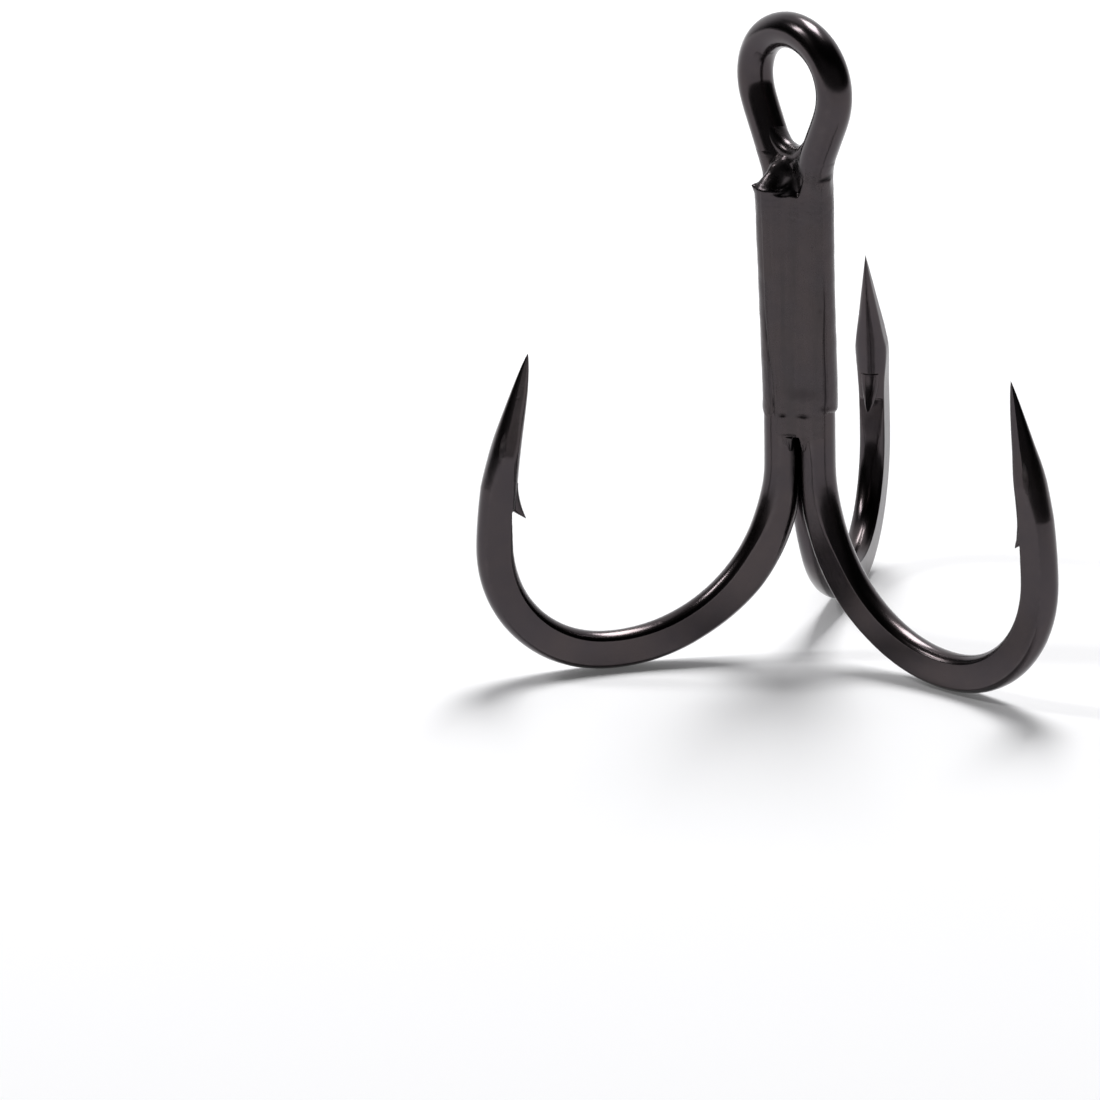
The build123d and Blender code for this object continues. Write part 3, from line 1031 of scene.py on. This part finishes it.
def fillerGap(x, y, z):
    # signed distance to the filler, negative inside it
    gaps = []
    for which, leg in enumerate((singleLeg, nearLeg, farLeg)):
        gap, heading = fromLeg(leg, x, y, z)
        gaps.append(gap - sectionRadius(heading, z, which) - filmThickness(heading, z, which)[0])
    single, near, far = gaps
    single = softMost(single, z - braze["singleTop"], 0.12)

    def web(first, second, heading, name):
        ax, ay = legAt(first, z)[:2]
        bx, by = legAt(second, z)[:2]
        ex, ey = bx - ax, by - ay
        span = np.sqrt(ex * ex + ey * ey)
        ex, ey = ex / span, ey / span
        share = (x - ax) * ex + (y - ay) * ey
        thick, _ = filmThickness(np.full_like(z, heading), z, 3)
        face = (x - ax) * ey - (y - ay) * ex
        middle = (share - span / 2) / (span / 2)
        sag = 0.02 * (1 - middle ** 2)
        proud = braze["webProud"] * smooth(12.3, 13.6, z)
        face = face - wire["radius"] - np.maximum(thick, 0.0) + sag - proud
        drop, dropFrom, dropTo = braze["webTongue"]
        bottom = braze["webBottoms"][name] - drop * smooth(dropFrom, dropTo, np.abs(middle))
        face = face + 0.26 * (1 - smooth(11.8, 13.0, z)) * smooth(0.15, 0.5, np.abs(middle))
        if name == "front":
            height, half, depth = braze["crack"]
            notch = depth * window(braze["crackSpan"], middle)
            face = face + notch * np.exp(-(((z - height - 0.04 * middle) / half) ** 2))
        top = braze["webTops"][name] + 0.03 * np.sin(share * 7)
        if name == "front":
            top = top + 1.1 * smooth(0.25, 0.85, middle)
        body = softMost(face, np.maximum(-share, share - span), 0.02)
        body = np.maximum(body, -face - 1.7)
        return softMost(softMost(body, bottom - z, 0.12), z - top, 0.16)

    front = web(singleLeg, nearLeg, -120, "front")
    side = web(nearLeg, farLeg, 0, "side")
    back = web(farLeg, singleLeg, 120, "back")
    sleeve = softLeast(softLeast(single, near, 0.03), far, 0.03)
    webs = softLeast(softLeast(front, side, 0.02), back, 0.02)
    body = softLeast(sleeve, webs, 0.05)

    # saddle between the two legs of the eye
    along = headingVector(eye["azimuth"])
    across = np.cross(along, up)
    v = (x - eye["offset"][0]) * along[0] + y * along[1]
    w = (x - eye["offset"][0]) * across[0] + y * across[1]
    crown = braze["saddleTop"] + braze["saddleRise"] * v * v - z
    half = braze["saddleHalf"] * np.sqrt(np.clip(crown / 0.9, 0.0, 1.0)) + 0.02
    sides = np.maximum(np.abs(w) - half, np.abs(v) - braze["saddleReach"])
    saddle = np.maximum(sides, -crown * 0.9)
    saddle = np.maximum(saddle, 25.5 - z)
    body = softLeast(body, saddle, 0.3)
    # solder round the single hook's cropped end, drawn up to the far leg, with a spur and a ridge
    centre = singleOutward * singleOffset(26.8)
    outwards = headingVector(braze["spurHeading"])
    bridge = softLeast(single + 0.02, far + 0.02, 0.95)
    bridge = softMost(bridge, np.abs(z - 27.0) - 1.1, 0.4)
    body = softLeast(body, bridge, 0.08)
    widest, narrower = braze["filletRadii"]
    for part in np.linspace(0, 1, braze["filletRods"]):
        line = np.array(braze["fillet"]) * (1 - part) + np.array(braze["ridge"]) * part
        radius = widest - narrower * part
        for start, end in zip(line[:-1], line[1:]):
            body = softLeast(body, taperedRod(x, y, z, start, end, radius, radius), 0.4)
    start, end, radius = braze["apron"]
    body = softLeast(body, taperedRod(x, y, z, start, end, radius, radius * 0.8), 0.45)
    (out, height, radius), (endOut, endHeight, endRadius) = braze["spurFrom"], braze["spurTo"]
    start, end = centre + outwards * out + up * height, centre + outwards * endOut + up * endHeight
    return softLeast(body, taperedRod(x, y, z, start, end, radius, endRadius), 0.18)


def brazeSkin():
    heights = np.concatenate([np.arange(*span) for span in braze["rows"]])
    headings = np.arange(braze["columns"]) * 2 * math.pi / braze["columns"]
    z = np.repeat(heights[:, None], len(headings), 1)
    cosine, sine = np.cos(headings)[None, :], np.sin(headings)[None, :]
    reach = np.full_like(z, braze["raysFrom"])
    for _ in range(braze["rayHops"]):
        gap = fillerGap(reach * cosine, reach * sine, z)
        reach = np.clip(reach - np.where(gap > 0.0004, gap * 0.8, 0), 0.05, None)
    for _ in range(2):      # eases the steps where the filler is undercut
        padded = np.pad(reach, ((1, 1), (0, 0)), mode="edge")
        eased = (padded[:-2] + padded[2:] + np.roll(reach, 1, 1) + np.roll(reach, -1, 1)) / 4
        jump = np.abs(eased - reach)
        reach = reach + (eased - reach) * np.clip(jump / 0.02, 0, 1) * 0.8
    x, y = reach * cosine, reach * sine
    gaps = [fromLeg(leg, x, y, z) for leg in (singleLeg, nearLeg, farLeg)]
    closest = np.argmin([gap for gap, _ in gaps], axis=0)
    heading = np.choose(closest, [heading for _, heading in gaps])
    # painted shade on the filler, gathered from the grooves, the slot, the hollow, the crevices
    # and the dents
    paintedShade = np.zeros_like(z)
    for which in range(3):
        paintedShade = np.where(closest == which, filmThickness(heading, z, which)[1] * 0.8, paintedShade)
    rightwards = headingVector(braze["frontAcross"])
    across = x * rightwards[0] + y * rightwards[1]
    isFront = np.abs(turnFrom(np.degrees(headings)[None, :], -105)) < 80
    # painted shade: a dark triangle under the solder ridge, standing in for a shaded hollow that
    # the filler's shape does not have
    underRidge = 26.7 + (across + 1.49) * 0.91 - z
    shade = smooth(-0.05, 0.45, underRidge) * smooth(26.5, 26.95, z)
    shade = shade * smooth(-1.8, -1.1, across) * (1 - smooth(-0.6, 0.2, across))
    paintedShade = np.maximum(paintedShade, shade * isFront)
    # painted shade in the crevices between the wires
    paintedShade = np.maximum(paintedShade, crevice(x, y, z))
    dents = np.zeros_like(z)
    for place, height, halfWidth, halfHeight, depth in braze["dents"]:
        dent = np.exp(-(((across - place) / halfWidth) ** 2) - ((z - height) / halfHeight) ** 2)
        dent = dent * isFront
        dents = dents + dent * depth
        # painted shade: the deeper dents darkened
        paintedShade = np.maximum(paintedShade, dent * min(0.75, depth * 12))
    return x - dents * cosine, y - dents * sine, z, paintedShade


def skinMesh(name):
    x, y, z, paintedShade = brazeSkin()
    points = np.stack([x, y, z], 2).reshape(-1, 3)
    shift = np.zeros(len(points))
    for i, point in enumerate(points):
        shift[i] = sum(
            share * noise.noise(point * scale) for scale, share in braze["lumpScales"]
        )
    outwards = points * (1, 1, 0)
    outwards = outwards / np.maximum(np.hypot(points[:, 0], points[:, 1]), 0.3)[:, None]
    points = points + outwards * (shift * braze["lumps"])[:, None]
    ends = [[0, 0, z[0, 0] + 0.05], [0, 0, z[-1, 0] + 0.004]]    # in the wires, and in the saddle
    mesh = tubeMesh(name, np.vstack([points, ends]), braze["columns"])
    # mark: the painted shade worked out in brazeSkin
    mark = mesh.attributes.new("mark", "FLOAT", "POINT")
    mark.data.foreach_set("value", np.append(paintedShade.ravel(), [0, 0]).astype(np.float32))
    return mesh


def saddleBar(name):
    # the filler's top between the legs of the eye: a sagging bar, its ends inside the legs
    along = headingVector(eye["azimuth"])
    across = np.cross(along, up)
    bar = braze["bar"]
    rings = []
    for v in np.linspace(-bar["reach"], bar["reach"], bar["stations"]):
        centre = eye["offset"] + along * v + up * (bar["height"] + bar["rise"] * v * v)
        for angle in np.linspace(0, 2 * math.pi, bar["around"], endpoint=False):
            cosine, sine = math.cos(angle), math.sin(angle)
            lump = 1 + bar["lump"] * noise.noise((v * 1.7, cosine * 1.3, sine * 1.3 + 5.0))
            side = across * cosine * bar["halfWidth"] * (1 + bar["flare"] * v * v)
            rings.append(centre + (side + up * sine * bar["halfHeight"]) * lump)
    mesh = tubeMesh(name, capped(rings, bar["around"]), bar["around"])
    mesh.attributes.new("mark", "FLOAT", "POINT")
    return mesh


# painted shade on the wires where they close on each other
def markCrevices(mesh):
    places = np.zeros(3 * len(mesh.vertices), np.float32)
    mesh.vertices.foreach_get("co", places)
    x, y, z = places.reshape(-1, 3).T.astype(float) / millimetre
    dark = mesh.attributes.new("crevice", "FLOAT", "POINT")
    dark.data.foreach_set("value", crevice(x, y, z).astype(np.float32))


markCrevices(doubleHook.data)
markCrevices(singleHook.data)
brazeJoint = joined("brazeJoint", [skinMesh("brazeSkin"), saddleBar("saddleBar")], brazeFinish)
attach(brazeJoint, "root")
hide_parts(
    "braze_web_front", "braze_web_back", "braze_web_side", "braze_core", "braze_saddle"
)
print("brazing made,", len(brazeJoint.data.polygons), "faces")

# Studio: pale floor, a light backdrop behind it, dark sides and ceiling, soft lamps
studio = {
    "cameraYaw": 0.25756,
    "cameraPitch": 0.30013,
    "cameraRoll": -0.01816,
    "cameraShift": (14.20785, 5.4884, 527.85133),
    "focal": 9448.44387 / 1100 * 36,
    "floorColour": (0.86, 0.86, 0.87, 1),
    "floorGlow": 0.6,
    "glowFrom": (0.12, 0.45),            # metres from the middle, where it grows
    "glowNear": (0.15, 0.15, 0.15, 1),
    "floorHalf": 3.0,
    "backStrength": 1.0,
    "frontStrength": 0.06,
    "darkStrength": 0.012,
    "topStrength": 0.75,
    "topTilt": 42.0,
}


def turned(angle, i, j):
    matrix = np.eye(3)
    matrix[i, i] = matrix[j, j] = math.cos(angle)
    matrix[i, j], matrix[j, i] = -math.sin(angle), math.sin(angle)
    return matrix


standing = np.array([[1, 0, 0], [0, 0, -1], [0, 1, 0]], float)
rotation = (
    turned(studio["cameraRoll"], 0, 1)
    @ turned(studio["cameraPitch"], 1, 2)
    @ standing
    @ turned(studio["cameraYaw"], 0, 1)
)
cameraData = bpy.data.cameras.new("camera")
cameraData.sensor_width = 36.0
cameraData.lens = studio["focal"]
cameraData.clip_start, cameraData.clip_end = 0.01, 20.0
camera = bpy.data.objects.new("camera", cameraData)
bpy.context.scene.collection.objects.link(camera)
facing = Matrix((rotation.T @ np.diag([1.0, -1.0, -1.0])).tolist()).to_4x4()
facing.translation = -rotation.T @ np.array(studio["cameraShift"]) * millimetre
camera.matrix_world = facing
bpy.context.scene.camera = camera
viewAlong = rotation[2]

floorMaterial = bpy.data.materials.new("paleFloor")
floorMaterial.use_nodes = True
floorMaterial.node_tree.nodes.clear()
g = Graph(floorMaterial.node_tree)
place = g.node("ShaderNodeTexCoord", None, None, "Object")
distance = g.node("ShaderNodeVectorMath", {"operation": "LENGTH"}, {0: place}, "Value")
nearer, farther = studio["glowFrom"]
glow = g.mixColour(distance.ramp(nearer, farther), studio["glowNear"], (1, 1, 1, 1))
shader = g.node(
    "ShaderNodeBsdfPrincipled",
    None,
    {
        "Base Color": studio["floorColour"],
        "Roughness": 0.9,
        "Emission Color": glow,
        "Emission Strength": studio["floorGlow"],
    },
)
output = floorMaterial.node_tree.nodes.new("ShaderNodeOutputMaterial")
floorMaterial.node_tree.links.new(shader.socket, output.inputs["Surface"])
half = studio["floorHalf"]
floorMesh = bpy.data.meshes.new("floor")
floorMesh.from_pydata(
    [(-half, -half, 0), (half, -half, 0), (half, half, 0), (-half, half, 0)], [], [(0, 1, 2, 3)]
)
floorMesh.materials.append(floorMaterial)
floor = shown("floor", floorMesh)

world = bpy.data.worlds.new("studio")
bpy.context.scene.world = world
world.use_nodes = True
world.node_tree.nodes.clear()
g = Graph(world.node_tree)
direction = g.node("ShaderNodeTexCoord", None, None, "Generated")
flatView = unit([viewAlong[0], viewAlong[1], 0])
dot = {"operation": "DOT_PRODUCT"}
behind = g.node("ShaderNodeVectorMath", dot, {0: direction, 1: tuple(flatView)}, "Value")
upwards = g.node("ShaderNodeVectorMath", dot, {0: direction, 1: (0, 0, 1)}, "Value")
bright = behind.ramp(0.35, 0.75) * studio["backStrength"]
front = (0 - behind).ramp(0.3, 0.8) * studio["frontStrength"]
tilt = math.radians(studio["topTilt"])
overhead = behind * math.cos(tilt) + upwards * math.sin(tilt)
level = (bright.most(front) + studio["darkStrength"]) * (1 - upwards.ramp(0.45, 0.8) * 0.95)
level = level.most(overhead.ramp(0.72, 0.9) * studio["topStrength"])
shader = g.node("ShaderNodeBackground", None, {"Color": (0.98, 0.98, 1, 1), "Strength": level})
output = world.node_tree.nodes.new("ShaderNodeOutputWorld")
world.node_tree.links.new(shader.socket, output.inputs["Surface"])

sideways = unit(np.cross(viewAlong, up))
lamps = {
    # name: (towards the view, to the right, up) in metres, width, length, watts
    "topBack": ((0.28, 0.05, 0.55), 0.20, 0.30, 3.4),
    "topLeft": ((0.08, -0.55, 0.58), 0.08, 0.22, 1.3),
}
for name, (place, width, length, watts) in lamps.items():
    data = bpy.data.lights.new(name, "AREA")
    data.shape = "RECTANGLE"
    data.size, data.size_y, data.energy = width, length, watts
    lamp = bpy.data.objects.new(name, data)
    bpy.context.scene.collection.objects.link(lamp)
    spot = flatView * place[0] + sideways * place[1] + up * place[2]
    back = unit(spot)
    across = unit(np.cross(up, back))
    matrix = Matrix(np.column_stack([across, np.cross(back, across), back]).tolist()).to_4x4()
    matrix.translation = spot
    lamp.matrix_world = matrix
bpy.context.scene.view_settings.view_transform = "Standard"
print("studio set")
